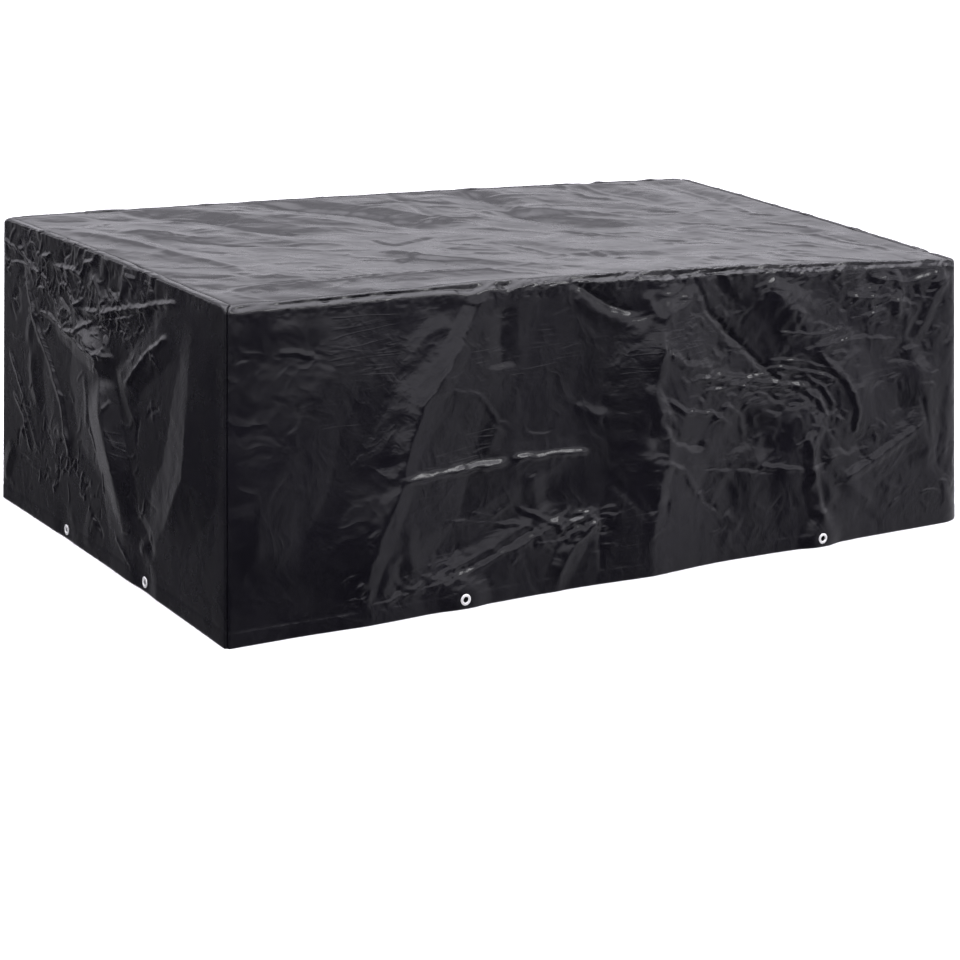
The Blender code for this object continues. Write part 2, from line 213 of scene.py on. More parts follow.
MAIN_FOLDS["lid"] = (
    (((34, 150), (40, 124), (49, 111), (55, 98), (68, 76)), 11, -1.3, 0.15),
    (((60, 150), (74, 138), (86, 123), (100, 99), (112, 79)), 11, -1.4, 0.15),
    (((135, 150), (140, 130), (136, 102), (146, 78), (168, 64)), 11, -1.2, 0.15),
    (((181, 148), (184, 118), (192, 98)), 9, -0.7, 0.15),
    (((211, 148), (209, 112), (204, 82)), 9, -0.7, 0.15),
    (((64, 56), (77, 39), (92, 20)), 8, 0.6, 0.15),
    (((108, 60), (112, 40), (130, 20)), 9, -0.7, 0.15),
    (((16, 94), (34, 80), (60, 68)), 8, -0.5, 0.15),
    (((205, 50), (206, 30), (216, 10)), 8, -0.5, 0.15),
    (((3, 116), (12, 82), (22, 44)), 7, 0.6, 0.15),
    (((2, 16), (45, 15), (98, 14)), 6, 0.5, 0.15),
)

# Sharper creases, listed one by one, in the same form, with CREST_ROUND where no roundness is
# given. Those of the front and of the left side, and their facets above, are measured along
# from CREASE_ORIGIN.
CREASES = {}
CREASES["front"] = (
    (((133, 51.2), (144, 52), (155, 50), (164, 50.5)), 0.8, 0.52, 0.02),
    (((138, 48), (150, 48.6), (162, 46.2), (172, 47)), 0.7, 0.46, 0.02),
    (((160, 54.5), (172, 53), (182, 50), (190, 44)), 0.8, 0.46, 0.02),
    (((172, 50), (180, 45), (184, 39)), 0.7, 0.44, 0.02),
    (((126, 48), (133, 43), (142, 42), (150, 37)), 0.9, 0.5, 0.02),
    (((162, 62), (176, 60), (186, 61)), 0.7, 0.4, 0.02),
    (((46, 35.2), (60, 35.8), (79, 36.2)), 1.3, 0.86, 0.02),
    (((79, 36.9), (93, 36.4), (103, 36)), 1, 0.78, 0.02),
    (((133, 28.2), (152, 25.7), (162, 24.3)), 1.1, -0.3, 0.05),
    (((158, 25.2), (166, 24), (174, 22.6)), 1, 0.4, 0.05),
    (((135, 79), (140, 69), (150, 60.5), (163, 49.5), (177, 44)), 1.2, -0.5),
    (((96, 81), (107, 74.2), (116, 70.9)), 1.3, -0.6, 0.05),
    (((98, 77.5), (106, 71.5), (120, 66)), 3, 0.4, 0.05),
    (((174.1, 34), (179.2, 14.6), (183.6, 3)), 1.4, 0.48),
    (((175.7, 56.1), (187.3, 47.1), (192.5, 38), (191.3, 30)), 1.4, 0.5, 0.05),
    (((214.8, 29.6), (201.8, 23.5), (188.2, 17.9)), 2.2, 0.5, 0.05),
    (((215.6, 40), (220.2, 24.6)), 1.2, -0.25, 0.05),
    (((158, 75), (172.2, 65)), 6, 0.7, 0.08),
    (((180, 40), (176.2, 28), (176.8, 17), (183.5, 1)), 3, 0.7, 0.05),
    (((60, 7.5), (82, 13.4), (94, 18.4)), 0.8, 0.2),
    (((29.5, 2.9), (42, 5), (60, 7.5)), 0.9, 0.2),
    (((60, 8), (76, 13.5), (88, 18.5)), 1.6, -0.45, 0.05),
    (((75.7, 76), (76.2, 60)), 5, -0.6, 0.1),
    (((70, 80), *LEFT_RIDGE, (34, 5)), 4, 0.5, 0.02),
    (((129, 82), (124, 63), *MIDDLE_RIDGE), 3.4, 0.6, 0.02),
    (((119, 76), (124, 68), (124.5, 58)), 2, 0.3),
    (
        ((49.5, 55.6), (51.8, 53.3), (54.8, 56.3), (60.8, 56.5), (69.4, 54.3), (75.2, 46.8), (80.5, 44.6)),
        1, 0.2,
    ),
    (((59.3, 23.3), (72.8, 20.7), (83, 19.1)), 0.7, 0.24),
    (((67.1, 24.1), (73.6, 22.5), (79.7, 25.1)), 0.7, 0.22),
    (((79.8, 24.6), (93.9, 17.6), (97.2, 12.3)), 0.9, 0.34),
    (((90.4, -5), (95, 6), (99.7, 13.9), (106.9, 18.1)), 4, 1, 0.05),
    (((106.3, 18.2), (107, 2)), 1.2, -0.3, 0.05),
    (((97, 17.5), (105, 20), (112, 20.5)), 0.7, 0.2),
    (((95, 13.5), (102, 16.5), (110, 17.5)), 0.7, 0.18),
    (((93, 15.5), (100, 18.5), (107, 19)), 0.7, 0.24),
    (((135, 53), (145, 50), (155, 47)), 1, 0.52),
    (((144, 51), (154, 49), (162, 48.5)), 0.9, 0.52),
    (((155, 49), (166, 47.5), (176, 45.5)), 0.9, 0.55),
    (((163, 52), (174, 50), (184, 47)), 0.8, 0.5),
    (((170, 47), (178, 42), (182, 36)), 1.2, 0.5, 0.05),
    (((145, 44), (152, 40), (154, 34)), 1.2, 0.35, 0.05),
    (((126, 60), (132, 56), (142, 54)), 1.6, 0.5, 0.06),
    (((124, 44), (130, 36), (140, 33)), 1.8, -0.5, 0.06),
    (((125, 31), (133, 27), (138, 20)), 1.4, 0.4, 0.06),
    (((160, 80), (174, 76), (186, 77)), 2, 0.5, 0.06),
    (((185, 70), (198, 68), (210, 66)), 1.4, 0.4, 0.06),
    (((194, 74.5), (208, 72), (220, 74)), 1.2, 0.45, 0.06),
    (((202, 78), (206, 70), (204, 62)), 2, 0.5, 0.06),
    (((222, 76), (216, 62), (210, 50)), 3, 0.6, 0.06),
    (((176, 57), (195, 57.5), (212, 55)), 1.1, 0.3, 0.06),
    (((15, 70), (20, 69.2), (24, 68.4)), 0.8, 0.22),
)
CREASES["left"] = (
    (((108, 73.5), (91.5, 74.8), (85.7, 74.2), (83, 77.8), (76, 80)), 1, 0.4),
    (((88.6, 64.6), (72, 66.7), (58, 70.3), (48, 72.5), (35.6, 75.9), (24.7, 77.7)), 1.2, 0.5),
    (((70, 65.5), (60, 67.5), (50, 70)), 0.7, 0.25),
    (((117, 60.2), (104.6, 59.3), (97, 57.6), (88.6, 58.7), (83, 61.7), (75.5, 64.2)), 0.9, 0.35),
    (((97, 57.6), (88.6, 57.1), (83, 55.5), (74.5, 55.6), (61.5, 57)), 1.1, 0.5),
    (((56.7, 50.2), (50.6, 55), (43, 61.7), (35.6, 65.8), (31, 69)), 1.2, 0.45),
    (((126, 70), (116, 54.5), (108, 48.1), (98.5, 38.2), (90.7, 20.9)), 2, 0.45),
    (((77, 76.2), (72, 70.7)), 0.8, 0.3),
    (((142, 75.4), (131, 73.4)), 0.9, 0.3),
    (((131, 74.5), (120, 70.9)), 0.9, 0.3),
    (((144, 68.9), (126, 70.7), (113.5, 70)), 0.9, 0.3),
    (((134, 33.4), (126, 28.2), (120, 18)), 1.2, 0.3),
    (((137.3, 45), (128, 36), (121.4, 28.1), (114.8, 20.3)), 1.3, 0.3),
    (((100, 66), (93, 63), (90, 60)), 0.8, 0.3),
    (((95, 70), (90, 66), (84, 68)), 0.7, 0.3),
    (((68, 74), (62, 72), (60, 68)), 0.8, 0.25),
    (((105, 66), (99, 60)), 0.8, 0.3),
    (((62, 10), (50, 3)), 0.8, 0.2),
)
CREASES["right"] = (
    (((20, 74), (38, 66), (52, 52)), 1.6, 0.5),
    (((110, 76), (98, 58), (96, 40)), 1.6, 0.5),
    (((30, 33), (55, 36), (80, 35)), 1, 0.5),
    (((62, 60), (70, 40), (66, 20)), 2, 0.5),
    (((15, 20), (30, 10), (42, 4)), 1, 0.3),
)
CREASES["back"] = (
    (((25, 76), (42, 62), (50, 44)), 1.8, 0.6),
    (((105, 74), (120, 60), (142, 55)), 1.4, 0.5),
    (((190, 76), (178, 56), (180, 36)), 1.8, 0.6),
    (((60, 36), (95, 37), (122, 35)), 1, 0.6),
    (((145, 30), (170, 26), (192, 20)), 1, 0.4),
    (((85, 20), (102, 12), (114, 4)), 1.2, 0.4),
    (((210, 60), (216, 40), (212, 25)), 1.4, 0.4),
)
CREASES["lid"] = (
    (((36, 143), (40, 124), (49, 111), (55, 98), (62, 84)), 3, -0.4, 0.08),
    (((60, 145), (74, 138), (84, 126), (93, 114), (100, 99), (108, 83)), 3.4, -0.5, 0.08),
    (((116, 140), (113, 119), (109, 83)), 2.6, -0.3, 0.08),
    (((132, 144), (140, 137), (141, 121), (137, 89)), 3, -0.4, 0.08),
    (((134, 120), (131, 102), (134, 92), (146, 75), (165, 67)), 2.2, 0.3, 0.06),
    (((181, 142), (184, 118), (190, 101)), 2.2, 0.3, 0.06),
    (((175, 140), (173, 116)), 2, 0.3, 0.06),
    (((210, 137), (209, 106), (204, 88)), 2.2, 0.3, 0.06),
    (((210, 98), (207, 76), (214, 69)), 2, 0.3, 0.06),
    (((198, 63), (211, 49)), 1.8, 0.3, 0.06),
    (((206, 44), (206, 30), (215, 13)), 2, 0.3, 0.06),
    (((109, 57), (112, 39), (115, 31)), 1.8, 0.3, 0.06),
    (((118, 30), (127, 22)), 1.4, 0.3, 0.06),
    (((146, 93), (155, 83)), 1.6, 0.3, 0.06),
    (((21, 91), (39, 73), (55, 70)), 2, -0.4, 0.06),
    (((73, 72), (78, 62), (96, 72)), 1.8, -0.4, 0.06),
    (((61, 34), (73, 39), (87, 26)), 2.4, -0.4, 0.06),
    (((66, 121), (80, 98), (95, 85)), 5, 0.3, 0.1),
    (((65, 54), (75, 41), (88, 24)), 3, 0.4, 0.06),
    (((19, 62), (22, 28), (32, 24)), 2.4, 0.4, 0.06),
    (((3, 110), (13, 75), (18, 56)), 2, 0.4, 0.06),
    (((7, 20.5), (45, 20), (93, 19.5)), 1.2, 0.3, 0.06),
    (((7, 15.5), (50, 16), (90, 15)), 1.2, 0.3, 0.06),
)

# the functions below take them in metres
for tables in (MAIN_FOLDS, CREASES):
    for side, rows in tables.items():
        tables[side] = [
            (np.array(route) / 100.0, width / 100.0, rise / 100.0, *crest)
            for route, width, rise, *crest in rows
        ]

# many fine creases close together, in metres: side, seed, count, place, reach, lean
CRUMPLED_PATCHES = (
    ("front", 501, 90, (0.5, 0.065), (0.26, 0.05), 0.25),
    ("front", 503, 75, (0.98, 0.165), (0.13, 0.045), 0.25),
    ("front", 505, 90, (1.6, 0.48), (0.26, 0.06), -0.15),
    ("front", 507, 60, (2.0, 0.66), (0.2, 0.12), -0.1),
    ("front", 509, 50, (1.36, 0.64), (0.14, 0.12), -0.6),
    ("front", 511, 40, (1.8, 0.36), (0.12, 0.1), -1.0),
    ("left", 521, 60, (0.98, 0.68), (0.32, 0.11), 2.6),
    ("left", 523, 30, (0.7, 0.66), (0.24, 0.08), 2.9),
    ("left", 525, 40, (0.95, 0.16), (0.3, 0.12), 2.2),
    ("right", 541, 60, (0.48, 0.64), (0.3, 0.12), 2.6),
    ("right", 543, 60, (0.98, 0.34), (0.24, 0.16), 1.9),
    ("back", 551, 80, (0.66, 0.64), (0.34, 0.12), 2.6),
    ("back", 553, 80, (1.72, 0.6), (0.36, 0.14), 0.4),
    ("back", 555, 60, (1.2, 0.2), (0.4, 0.09), 0.2),
)


def smooth(low, high, value):
    """0 at low, 1 at high, with no corner at either."""
    t = np.clip((value - low) / (high - low), 0.0, 1.0)
    return t * t * (3.0 - 2.0 * t)


def wavering(u, v, size, seed):
    """Smooth noise from -1 to 1 with features of a size in metres."""
    rng = np.random.RandomState(seed)
    angles = rng.uniform(0.0, 2.0 * math.pi, (128, 128))
    x, y = u / size + 31.7, v / size + 17.3
    xi, yi = np.floor(x).astype(int), np.floor(y).astype(int)
    fx, fy = x - xi, y - yi

    def corner(dx, dy):
        turn = angles[(xi + dx) % 128, (yi + dy) % 128]
        return np.cos(turn) * (fx - dx) + np.sin(turn) * (fy - dy)

    sx = fx * fx * fx * (fx * (fx * 6.0 - 15.0) + 10.0)
    sy = fy * fy * fy * (fy * (fy * 6.0 - 15.0) + 10.0)
    low = corner(0, 0) * (1.0 - sx) + corner(1, 0) * sx
    high = corner(0, 1) * (1.0 - sx) + corner(1, 1) * sx
    return 1.5 * (low * (1.0 - sy) + high * sy)


def ridged(u, v, size, seed):
    """Noise with sharp crests, from -1 to 1: the facets and creases of a crumpled sheet."""
    shift_u = u + 0.35 * size * wavering(u, v, size * 1.7, seed + 1)
    shift_v = v + 0.35 * size * wavering(u, v, size * 1.7, seed + 2)
    return 1.0 - 2.6 * np.abs(wavering(shift_u, shift_v, size, seed))


def fold_relief(folds, along, up, taper=0.2):
    """The folds' height: each is a tent with a softened crest and tapered ends."""
    relief = np.zeros_like(along)
    for route, width, rise, *given in folds:
        crest_round = given[0] if given else CREST_ROUND
        route = np.asarray(route, float)
        low, high = route.min(0) - width, route.max(0) + width
        near = (along > low[0]) & (along < high[0]) & (up > low[1]) & (up < high[1])
        if not near.any():
            continue
        a, u = along[near], up[near]
        nearest = np.full(a.shape, width)
        travelled = np.zeros(a.shape)
        for index in range(len(route) - 1):
            start, step = route[index], route[index + 1] - route[index]
            t = np.clip(((a - start[0]) * step[0] + (u - start[1]) * step[1]) / (step @ step), 0.0, 1.0)
            away = np.hypot(a - start[0] - step[0] * t, u - start[1] - step[1] * t)
            closer = away < nearest
            nearest = np.where(closer, away, nearest)
            travelled = np.where(closer, (index + t) / (len(route) - 1), travelled)
        crest = np.hypot(nearest / width, crest_round)
        section = np.maximum(0.0, 1.0 - crest) / (1.0 - crest_round)
        ends = smooth(0.0, taper, travelled) * smooth(1.0, 1.0 - taper, travelled)
        relief[near] += rise * section * ends
    return relief


def facet_relief(facets, along, up):
    """Flat tilted patches, highest along the crest line, down to the cloth at the foot line.
    Their routes come in centimetres; along and up are in metres."""
    relief = np.zeros_like(along)
    for crest, foot, slope, back in facets:
        crest, foot, back = np.array(crest) / 100.0, np.array(foot) / 100.0, back / 100.0
        at_crest = np.interp(up, crest[:, 1], crest[:, 0])
        span = np.maximum(np.interp(up, foot[:, 1], foot[:, 0]) - at_crest, 1e-4)
        away = along - at_crest
        section = np.where(away > 0.0, 1.0 - away / span, 1.0 + away / back)
        lowest, highest = crest[0, 1], crest[-1, 1]
        ends = smooth(lowest - 0.02, lowest + 0.08, up) * smooth(highest + 0.01, highest - 0.08, up)
        relief += slope * span * np.clip(section, 0.0, 1.0) * ends
    return relief


def scattered(seed, count, low, high, length, width, slope, lean, spread, density=None):
    """Bent creases at random places, leaning about one way, their rise from their width."""
    rng = np.random.RandomState(seed)
    made = []
    for _ in range(count * 12):
        if len(made) == count:
            break
        place = np.array([rng.uniform(low[0], high[0]), rng.uniform(low[1], high[1])])
        chance, heading = rng.uniform(), lean + rng.normal() * spread
        bend, reach = float(np.clip(rng.normal() * 0.4, -0.5, 0.5)), rng.uniform(*length)
        half, steep, sign = rng.uniform(*width), rng.uniform(*slope), rng.uniform()
        if density is not None and chance > density(place[0], place[1]):
            continue
        route = [place]
        for _ in range(3):
            route.append(route[-1] + reach / 3.0 * np.array([math.cos(heading), math.sin(heading)]))
            heading += bend
        made.append((route, half, half * steep * (1.0 if sign < 0.62 else -1.0)))
    return made


# ---- the cover's form ----


def corner_state(name, level):
    """A corner's place and its radius at a level: 0 on the hem's seam, 1 and 2 the roll's ends."""
    side_x, side_y, lid_x, lid_y, lid_z, floor_x, floor_y, lid_round, floor_round = CORNERS[name]
    lid_height = HEIGHT + lid_z
    wall_top = lid_height - EDGE_ROLL
    turn = np.clip(level - 1.0, 0.0, 1.0) * math.pi / 2.0
    wall = HEM_HEIGHT + (wall_top - HEM_HEIGHT) * np.clip(level, 0.0, 1.0)
    z = np.where(level <= 0.0, HEM_HEIGHT * (level + 1.0), wall)
    z = np.where(level > 1.0, wall_top + EDGE_ROLL * np.sin(turn), z)
    inset = EDGE_ROLL * (1.0 - np.cos(turn)) + EDGE_FLAT * np.maximum(level - 2.0, 0.0)
    rise = np.minimum(1.0, z / lid_height)
    x = side_x * (LENGTH / 2.0 + floor_x + (lid_x - floor_x) * rise - inset)
    y = side_y * (WIDTH / 2.0 + floor_y + (lid_y - floor_y) * rise - inset)
    radius = floor_round + (lid_round - floor_round) * rise
    sharpen = inset / (EDGE_ROLL + EDGE_FLAT)
    return np.stack([x, y, z], -1), radius + (SEAM_CORNER_RADIUS - radius) * sharpen


def plain_points(side, station, level):
    """Points without folds, the way out of each, and its distances: along the side, from the
    nearer corner's round part and from the corner seam; and the side's length."""
    left, left_radius = corner_state(SIDES[side][0], level)
    right, right_radius = corner_state(SIDES[side][1], level)
    run = right - left
    length = np.hypot(run[..., 0], run[..., 1])
    way = run / length[..., None]
    out = np.stack([run[..., 1], -run[..., 0], np.zeros_like(length)], -1) / length[..., None]
    distance = left_radius + np.clip(station, 0.0, 1.0) * (length - left_radius - right_radius)
    crown = SIDES[side][2] * np.sin(math.pi * distance / length) * smooth(CROWN_FROM, 1.0, level)
    straight = left + way * distance[..., None]
    straight[..., 2] += crown
    at_left, at_right = station < 0.0, station > 1.0
    reach = np.where(at_left, station + 1.0, 2.0 - station)
    radius = np.where(at_left, left_radius, right_radius)
    sharp = np.where(at_left[..., None], left, right)
    inward = np.where(at_left[..., None], way, -way)
    half_gap = SEAM_GAP / 2.0 / radius
    lean = math.pi / 4.0 - (half_gap + reach * (math.pi / 4.0 - half_gap))
    sine, cosine = np.sin(lean)[..., None], np.cos(lean)[..., None]
    wide = radius[..., None]
    round_point = sharp + inward * (wide * (1.0 - sine)) - out * (wide * (1.0 - cosine))
    flat_inward = inward * np.array([1.0, 1.0, 0.0])
    flat_inward /= np.linalg.norm(flat_inward, axis=-1, keepdims=True)
    round_out = out * cosine - flat_inward * sine
    in_corner = (at_left | at_right)[..., None]
    point = np.where(in_corner, round_point, straight)
    facing = np.where(in_corner, round_out, out)
    corner_distance = np.where(at_left, radius * reach, length - radius * reach)
    distance = np.where(in_corner[..., 0], corner_distance, distance)
    near_corner = np.minimum(distance - left_radius, length - right_radius - distance)
    from_seam = np.where(at_left | at_right, radius * reach * math.pi / 4.0, 1.0)
    return point, facing, distance, near_corner, from_seam, length


def seam_wave(side, place):
    """How the lid's seam wanders up and down, in metres, by the place along it."""
    seed, long, middle, short = SEAM_WAVES[side]
    flat = place * 0.0
    patches = np.clip(0.3 + wavering(place, flat, 0.30, seed + 12), 0.0, 1.0)
    wave = long * wavering(place, flat, 0.21, seed) + middle * wavering(place, flat, 0.075, seed + 5)
    return wave + short * patches * wavering(place, flat, 0.026, seed + 9)


def seam_step(place):
    """The step's share of the front's roll and the drop of its ledge, by the place along it."""
    flat = place * 0.0
    share, drop = 0.45 + 0.35 * wavering(place, flat, 0.05, 77), flat
    for middle, half, more, lower in SEAM_STEPS:
        near = np.exp(-((np.abs(place + CREASE_ORIGIN[0] - middle) / half) ** 4))
        share = share + more * near
        drop = drop + lower * near * (1.0 + 0.6 * wavering(place, flat, 0.035, 78))
    return np.clip(share, 0.0, 1.0), drop


def top_profile(side, place, turn):
    """The top edge's own section: way in and way up, from 0 to 1 each, and the ledge's drop."""
    if side != "front":
        return 1.0 - np.cos(turn) ** 0.3, np.sin(turn) ** 0.3, turn * 0.0
    share, drop = seam_step(place)
    t = turn / (math.pi / 2.0)
    rows = (0.0, 0.14, 0.44, 0.52, 0.86, 0.94, 1.0)
    step_in = np.interp(t, rows, (0.0, 0.06, 0.46, 0.54, 0.50, 0.60, 1.0))
    step_up = np.interp(t, rows, (0.0, 0.14, 0.46, 0.50, 0.96, 1.0, 1.0))
    way_in = (1.0 - share) * (1.0 - np.cos(turn) ** 1.2) + share * step_in
    way_up = (1.0 - share) * np.sin(turn) ** 1.2 + share * step_up
    return way_in, way_up, drop * smooth(0.70, 0.50, t)


def wall_density(side):
    """How crumpled a side is at each place, from 0 to 1."""

    def front(along, up):
        value = 0.02 + 0.58 * float(smooth(1.05, 1.35, along))
        value += 0.5 * float(smooth(0.62, 0.78, up)) * float(smooth(0.8, 1.3, along))
        value += 0.5 * math.exp(-(((along - 1.60) / 0.32) ** 2 + ((up - 0.48) / 0.08) ** 2))
        value += 0.5 * math.exp(-(((along - 2.05) / 0.20) ** 2 + ((up - 0.68) / 0.12) ** 2))
        value += 0.6 * math.exp(-(((along - 0.98) / 0.12) ** 2 + ((up - 0.17) / 0.05) ** 2))
        ridge = 0.03 + (along - 0.3) * 0.21
        value += 0.6 * math.exp(-(((up - ridge) / 0.04) ** 2)) * (0.25 < along < 0.95)
        return value

    def left(along, up):
        value = 0.16 + 0.7 * float(smooth(0.48, 0.66, up)) * float(smooth(1.20, 0.85, along))
        return value * float(smooth(1.15, 0.95, along))

    return {"front": front, "left": left}.get(side, lambda along, up: 0.80)


def crumpled_patches(side):
    """Fine creases crowded round a few places, where the cloth was gripped or pulled."""
    made = []
    for name, seed, count, place, reach, lean in CRUMPLED_PATCHES:
        if name != side:
            continue
        low, high = np.subtract(place, reach), np.add(place, reach)

        def density(along, up, place=place, reach=reach):
            away = ((along - place[0]) / reach[0]) ** 2 + ((up - place[1]) / reach[1]) ** 2
            return math.exp(-2.0 * away)

        sizes = ((0.018, 0.070), (0.0045, 0.0070), (0.12, 0.36))
        made += scattered(seed, count, low, high, *sizes, lean, 0.45, density)
    return made


def wall_creases(side, length):
    """The side's large random creases, and its finer ones."""
    area = length * 0.82
    density = wall_density(side)
    lean = {"front": 1.9, "left": 2.2, "right": 1.2, "back": 1.7}[side]
    seed = {"front": 11, "left": 47, "right": 83, "back": 129}[side]
    low, high = (0.02, -0.02), (length - 0.02, 0.84)
    calm = density if side in ("front", "left") else None
    large_sizes = ((0.20, 0.45), (0.05, 0.10), (0.03, 0.055))
    large = scattered(seed, int(6 * area), low, high, *large_sizes, lean, 0.8, calm)
    fine = []
    # how many to the square metre, their lengths, half widths and slopes, their lean, its spread
    for more, crowd, *sizes, tilt, spread in (
        (1, 30 if side == "left" else 55, (0.06, 0.24), (0.014, 0.040), (0.05, 0.13), lean, 0.9),
        (2, 110, (0.02, 0.09), (0.006, 0.010), (0.08, 0.26), lean, 1.3),
        (3, 70, (0.03, 0.10), (0.005, 0.007), (0.16, 0.42), 0.0, 0.35),
    ):
        fine += scattered(seed + more, int(crowd * area), low, high, *sizes, tilt, spread, density)
    return large, fine


def photo_place(side, point, distance):
    """The place by which the listed creases are given."""
    if side == "front":
        return point[..., 0] + CREASE_ORIGIN[0]
    if side == "left":
        return point[..., 1] + CREASE_ORIGIN[1]
    return distance


def crumple_relief(side, fine, distance, up, place):
    """The height of a side's creases, from the listed ones to the finest."""
    small_a = distance + 0.004 * wavering(distance, up, 0.03, 61)
    small_u = up + 0.004 * wavering(distance, up, 0.03, 62)
    broken = 1.0 + 0.45 * wavering(distance, up, 0.060, 63)
    crumple = fold_relief(fine, distance, up)
    crumple += broken * fold_relief(CREASES.get(side, ()), place + small_a - distance, small_u, 0.12)
    crumple += fold_relief(crumpled_patches(side), place, up)
    cover = np.clip(np.vectorize(wall_density(side))(distance, np.minimum(up, HEIGHT)), 0.2, 1.0)
    fineness = 0.25 if side == "left" else 1.0
    crumple += 0.0008 * fineness * cover * ridged(distance, up, 0.110, 21)
    crumple += 0.0002 * fineness * cover * ridged(distance, up, 0.040, 25)
    return crumple * (0.25 + 0.75 * smooth(0.01, 0.10, up))


def sewn(side, point, facing, out, from_seam, level):
    """The points with the seams' grooves and the hem's step, and flat round the eyelets."""
    upright = CORNER_SEAM_DEPTH * np.exp(-((from_seam / GROOVE_WIDTH) ** 2))
    lid_seam = GROOVE_DEPTH * np.exp(-(((3.0 - level) * EDGE_FLAT / GROOVE_WIDTH) ** 2)) * (level > 2.0)
    point = point - facing * np.maximum(upright, lid_seam)[..., None]
    stitch = STITCH_DEPTH * np.exp(-(((point[..., 2] - STITCH_HEIGHT) / STITCH_WIDTH) ** 2))
    step = HEM_STEP * smooth(STITCH_HEIGHT + 0.004, STITCH_HEIGHT - 0.002, point[..., 2])
    point = point + out * (step - stitch)[..., None]
    for middle, normal in eyelets_of(side):
        centre = middle + normal * CLOTH / 2.0
        away = np.linalg.norm(point - centre, axis=-1)
        weight = smooth(EYELET_FLAT[1], EYELET_FLAT[0], away)
        offset = ((centre - point) @ normal) / np.maximum(out @ normal, 0.5)
        point = point + out * (offset * weight)[..., None]
    return point


def wall_points(side, station, level):
    """The points of the folded side, and the way out of it at each."""
    point, out, distance, near_corner, from_seam, length = plain_points(side, station, level)
    z = point[..., 2]
    height = np.maximum(z, STRAIGHT_BELOW)
    warp_a = distance + 0.014 * wavering(distance, z, 0.16, 5) + 0.004 * wavering(distance, z, 0.04, 6)
    warp_u = height + 0.014 * wavering(distance, z, 0.16, 7) + 0.004 * wavering(distance, z, 0.04, 8)
    wall_top = HEIGHT - EDGE_ROLL
    kept = FOLDS_AT_TOP if side == "front" else 0.0
    pressed = kept + (1.0 - kept) * smooth(wall_top, wall_top - TOP_FADE, z)
    fade = smooth(0.0, CORNER_FADE, near_corner) * pressed * smooth(2.0, 1.0, level)
    relief = fold_relief(MAIN_FOLDS[side], warp_a, warp_u)
    large, fine = wall_creases(side, float(length.max()))
    relief += fold_relief(large, warp_a, warp_u)
    place = photo_place(side, point, distance)
    relief += facet_relief(FACETS.get(side, ()), place + warp_a - distance, warp_u)
    bow, loss = HEM_BOW[side]
    low = loss * smooth(0.32, 0.03, z)
    relief += (bow * np.sin(math.pi * distance / length) - relief) * low
    point = point + out * (relief * fade)[..., None]
    turn = np.clip(level - 1.0, 0.0, 0.9999) * math.pi / 2.0
    facing = out * np.cos(turn)[..., None] + UP * np.sin(turn)[..., None]
    up = point[..., 2] + EDGE_ROLL * turn
    edge = smooth(0.0, CREASE_FADE, np.minimum(distance, length - distance))
    crumple = crumple_relief(side, fine, distance, up, place)
    point = point + facing * (crumple * edge)[..., None]
    # gathers under the lid's seam, and the crumpled roll
    world = point[..., 0] if side in ("front", "back") else point[..., 1]
    over = smooth(wall_top - 0.035, wall_top + 0.008, point[..., 2])
    rolled = smooth(wall_top - 0.012, wall_top, point[..., 2]) * smooth(2.6, 2.0, level)
    ruffle = 0.0006 + 0.0008 * smooth(0.55, 0.95, place) if side == "front" else 0.0003
    gathers = seam_wave(side, world) * over + ruffle * rolled * ridged(distance, up, 0.020, 27)
    point = point + facing * (gathers * edge)[..., None]
    way_in, way_up, drop = top_profile(side, world, turn)
    deeper = EDGE_ROLL * (way_in - 1.0 + np.cos(turn)) * edge
    higher = (EDGE_ROLL * (way_up - np.sin(turn)) - drop * over) * edge
    point = point - out * deeper[..., None] + UP * higher[..., None]
    return sewn(side, point, facing, out, from_seam, level), out


def side_grid(side):
    """The stations along a side and the levels up it, closer together at corners and edges."""
    cell_across, cell_up = SIDES[side][3], SIDES[side][4]
    stations = []
    for name, first in ((SIDES[side][0], -1.0), (SIDES[side][1], 1.0)):
        radius = max(CORNERS[name][7], CORNERS[name][8])
        count = max(5, int(radius * math.pi / 4.0 / cell_across) + 1)
        spread = np.linspace(0.0, 1.0, count + 1)
        spread = np.concatenate([spread[:1], [spread[1] * 0.3, spread[1] * 0.65], spread[1:]])
        stations.append(first + spread if first < 0.0 else 2.0 - spread[::-1])
    length = LENGTH if side in ("front", "back") else WIDTH
    straight = np.linspace(0.0, 1.0, int(length / cell_across) + 1)
    columns = np.concatenate([stations[0][:-1], straight, stations[1][1:]])
    hem = np.linspace(-1.0, 0.0, int(HEM_HEIGHT / HEM_CELL) + 1)[:-1]
    wall = np.linspace(0.0, 1.0, int((HEIGHT - EDGE_ROLL - HEM_HEIGHT) / cell_up) + 1)[:-1]
    roll = np.linspace(1.0, 2.0, ROLL_ROWS + 1)[:-1]
    flat = np.array([2.0, 2.3, 2.55, 2.75, 2.9, 3.0])
    return columns, np.concatenate([hem, wall, roll, flat])


def placed(data):
    """The mesh, light or camera as an object of its own name in the scene."""
    thing = bpy.data.objects.new(data.name, data)
    bpy.context.scene.collection.objects.link(thing)
    return thing


def finished(mesh, material):
    """The mesh as a smooth piece of one material."""
    mesh.shade_smooth()
    mesh.materials.append(material)
    return placed(mesh)


